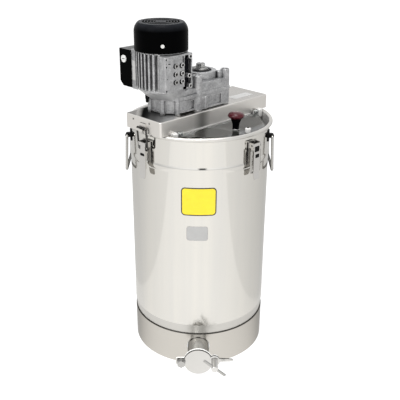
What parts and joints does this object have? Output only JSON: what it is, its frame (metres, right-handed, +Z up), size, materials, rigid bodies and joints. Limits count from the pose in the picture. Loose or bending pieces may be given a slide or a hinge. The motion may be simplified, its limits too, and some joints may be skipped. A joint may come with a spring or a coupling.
{
  "type": "honey creamer",
  "caption": "Stainless honey creaming tank on a skirt, with a gear motor on a cross bridge driving a stirrer, clear half lids, drop handles, toggle latches and a swing gate outlet.",
  "frame": {"origin": "tank axis at the floor, centre of the base ring", "axes": "+Z up along the tank axis, outlet gate faces -Y, drive bridge runs at 45 degrees between +X and +Y"},
  "size_m": [0.343, 0.4222, 0.795],
  "materials": {
    "polished_stainless": "polished",
    "satin_stainless": "satin",
    "bright_stainless": "polished",
    "handle_steel": "satin",
    "latch_steel": "polished",
    "stirrer_steel": "satin",
    "seal_rubber": "matt",
    "clear_acrylic": "clear gloss",
    "white_plastic": "satin",
    "hinge_pin_steel": "satin",
    "knob_black": "gloss",
    "knob_red": "gloss",
    "cast_aluminium": "cast",
    "zinc_fasteners": "zinc plated",
    "black_plastic": "gloss",
    "fan_plastic": "matt",
    "electrical_steel": "laminated",
    "copper_windings": "varnished",
    "gear_steel": "ground"
  },
  "bodies": {
    "tank": {"tank_shell": "polished_stainless", "tank_bottom": "satin_stainless", "base_skirt": "satin_stainless", "outlet_pipe": "polished_stainless", "gate_body": "bright_stainless", "gate_seal": "seal_rubber", "gate_pivot_bolt": "bright_stainless", "gate_clamp_stud": "bright_stainless", "handle_lugs": "handle_steel", "latch_bases": "latch_steel", "latch_pins": "latch_steel", "latch_keepers": "latch_steel", "drive_bridge": "satin_stainless", "lid_hinge_brackets": "white_plastic", "lid_hinge_clips": "hinge_pin_steel", "lid_hinge_pins": "hinge_pin_steel", "gear_case_lower": "cast_aluminium", "gear_case_upper": "cast_aluminium", "gear_case_bolts": "zinc_fasteners", "motor_frame": "cast_aluminium", "stator_core": "electrical_steel", "stator_windings": "copper_windings", "fan_cowl": "black_plastic", "cowl_screws": "zinc_fasteners", "terminal_box": "black_plastic", "terminal_box_lid": "black_plastic", "blanking_plug": "white_plastic", "cable_gland": "black_plastic", "ball_bearings": "gear_steel"},
    "stirrer": {"output_shaft": "stirrer_steel", "stirrer_shaft": "stirrer_steel", "stirrer_blades": "stirrer_steel", "shaft_bolt": "zinc_fasteners"},
    "rotor": {"rotor_shaft": "gear_steel", "rotor_core": "electrical_steel", "fan": "fan_plastic"},
    "gear_a": {"gear_cluster_a": "gear_steel"},
    "gear_b": {"gear_cluster_b": "gear_steel"},
    "front_lid": {"lid_front": "clear_acrylic", "lid_front_bumper": "white_plastic", "knob_front_stem": "knob_black", "knob_front_cap": "knob_red"},
    "back_lid": {"lid_back": "clear_acrylic", "lid_back_bumper": "white_plastic", "knob_back_stem": "knob_black", "knob_back_cap": "knob_red"},
    "left_handle": {"handle_left": "handle_steel"},
    "right_handle": {"handle_right": "handle_steel"},
    "gate": {"gate_blade": "bright_stainless"},
    "gate_washer": {"gate_clamp_washer": "bright_stainless"},
    "gate_nut": {"gate_clamp_nut": "bright_stainless", "gate_tee_bar": "bright_stainless"},
    "lever_front_left": {"latch_lever_front_left": "latch_steel"},
    "bail_front_left": {"latch_bail_front_left": "latch_steel"},
    "lever_front_right": {"latch_lever_front_right": "latch_steel"},
    "bail_front_right": {"latch_bail_front_right": "latch_steel"},
    "lever_back_left": {"latch_lever_back_left": "latch_steel"},
    "bail_back_left": {"latch_bail_back_left": "latch_steel"},
    "lever_back_right": {"latch_lever_back_right": "latch_steel"},
    "bail_back_right": {"latch_bail_back_right": "latch_steel"}
  },
  "joints": [
    {"name": "stirrer_turn", "type": "hinge", "parent": "tank", "child": "stirrer", "pos_m": [0, 0, 0.62], "axis": [0, 0, 1], "continuous": true},
    {"name": "gear_b_turn", "type": "hinge", "parent": "tank", "child": "gear_b", "pos_m": [-0.03491, -0.03491, 0.63], "axis": [0, 0, 1], "continuous": true},
    {"name": "gear_a_turn", "type": "hinge", "parent": "tank", "child": "gear_a", "pos_m": [-0.05931, -0.05931, 0.63], "axis": [0, 0, 1], "continuous": true},
    {"name": "rotor_turn", "type": "hinge", "parent": "tank", "child": "rotor", "pos_m": [-0.08109, -0.08109, 0.7], "axis": [0, 0, 1], "continuous": true},
    {"name": "front_lid_hinge", "type": "hinge", "parent": "tank", "child": "front_lid", "pos_m": [0.04349, -0.04349, 0.5695], "axis": [-0.7071, -0.7071, 0], "range_deg": [0, 55]},
    {"name": "back_lid_hinge", "type": "hinge", "parent": "tank", "child": "back_lid", "pos_m": [-0.04349, 0.04349, 0.5695], "axis": [0.7071, 0.7071, 0], "range_deg": [0, 55]},
    {"name": "left_handle_swing", "type": "hinge", "parent": "tank", "child": "left_handle", "pos_m": [-0.163, 0, 0.539], "axis": [0, 1, 0], "range_deg": [0, 110]},
    {"name": "right_handle_swing", "type": "hinge", "parent": "tank", "child": "right_handle", "pos_m": [0.163, 0, 0.539], "axis": [0, -1, 0], "range_deg": [0, 110]},
    {"name": "gate_swing", "type": "hinge", "parent": "tank", "child": "gate", "pos_m": [-0.039, -0.219, 0.048], "axis": [0, -1, 0], "range_deg": [0, 100]},
    {"name": "gate_washer_slide", "type": "slide", "parent": "tank", "child": "gate_washer", "axis": [0, -1, 0], "range_m": [0, 0.0025]},
    {"name": "gate_nut_turn", "type": "hinge", "parent": "gate_washer", "child": "gate_nut", "pos_m": [0.0375, -0.24, 0.054], "axis": [0, -1, 0], "range_deg": [0, 720]},
    {"name": "lever_front_left_swing", "type": "hinge", "parent": "tank", "child": "lever_front_left", "pos_m": [-0.12021, -0.12021, 0.543], "axis": [-0.7071, 0.7071, 0], "range_deg": [0, 100]},
    {"name": "bail_front_left_swing", "type": "hinge", "parent": "lever_front_left", "child": "bail_front_left", "pos_m": [-0.12091, -0.12091, 0.531], "axis": [-0.7071, 0.7071, 0], "range_deg": [-87, 0]},
    {"name": "lever_front_right_swing", "type": "hinge", "parent": "tank", "child": "lever_front_right", "pos_m": [0.12021, -0.12021, 0.543], "axis": [-0.7071, -0.7071, 0], "range_deg": [0, 100]},
    {"name": "bail_front_right_swing", "type": "hinge", "parent": "lever_front_right", "child": "bail_front_right", "pos_m": [0.12091, -0.12091, 0.531], "axis": [-0.7071, -0.7071, 0], "range_deg": [-100, 0]},
    {"name": "lever_back_left_swing", "type": "hinge", "parent": "tank", "child": "lever_back_left", "pos_m": [-0.12021, 0.12021, 0.543], "axis": [0.7071, 0.7071, 0], "range_deg": [0, 100]},
    {"name": "bail_back_left_swing", "type": "hinge", "parent": "lever_back_left", "child": "bail_back_left", "pos_m": [-0.12091, 0.12091, 0.531], "axis": [0.7071, 0.7071, 0], "range_deg": [-100, 0]},
    {"name": "lever_back_right_swing", "type": "hinge", "parent": "tank", "child": "lever_back_right", "pos_m": [0.12021, 0.12021, 0.543], "axis": [0.7071, -0.7071, 0], "range_deg": [0, 100]},
    {"name": "bail_back_right_swing", "type": "hinge", "parent": "lever_back_right", "child": "bail_back_right", "pos_m": [0.12091, 0.12091, 0.531], "axis": [0.7071, -0.7071, 0], "range_deg": [-87, 0]}
  ],
  "couplings": [
    {"joint": "gear_b_turn", "follows": "stirrer_turn", "ratio": -3.6471},
    {"joint": "gear_a_turn", "follows": "stirrer_turn", "ratio": 11.156},
    {"joint": "rotor_turn", "follows": "stirrer_turn", "ratio": -39.373},
    {"joint": "gate_washer_slide", "follows": "gate_nut_turn", "m_per_rad": 0.00019894},
    {"joint": "bail_front_left_swing", "follows": "lever_front_left_swing", "ratio": -0.87},
    {"joint": "bail_front_right_swing", "follows": "lever_front_right_swing", "ratio": -1},
    {"joint": "bail_back_left_swing", "follows": "lever_back_left_swing", "ratio": -1},
    {"joint": "bail_back_right_swing", "follows": "lever_back_right_swing", "ratio": -0.87}
  ]
}
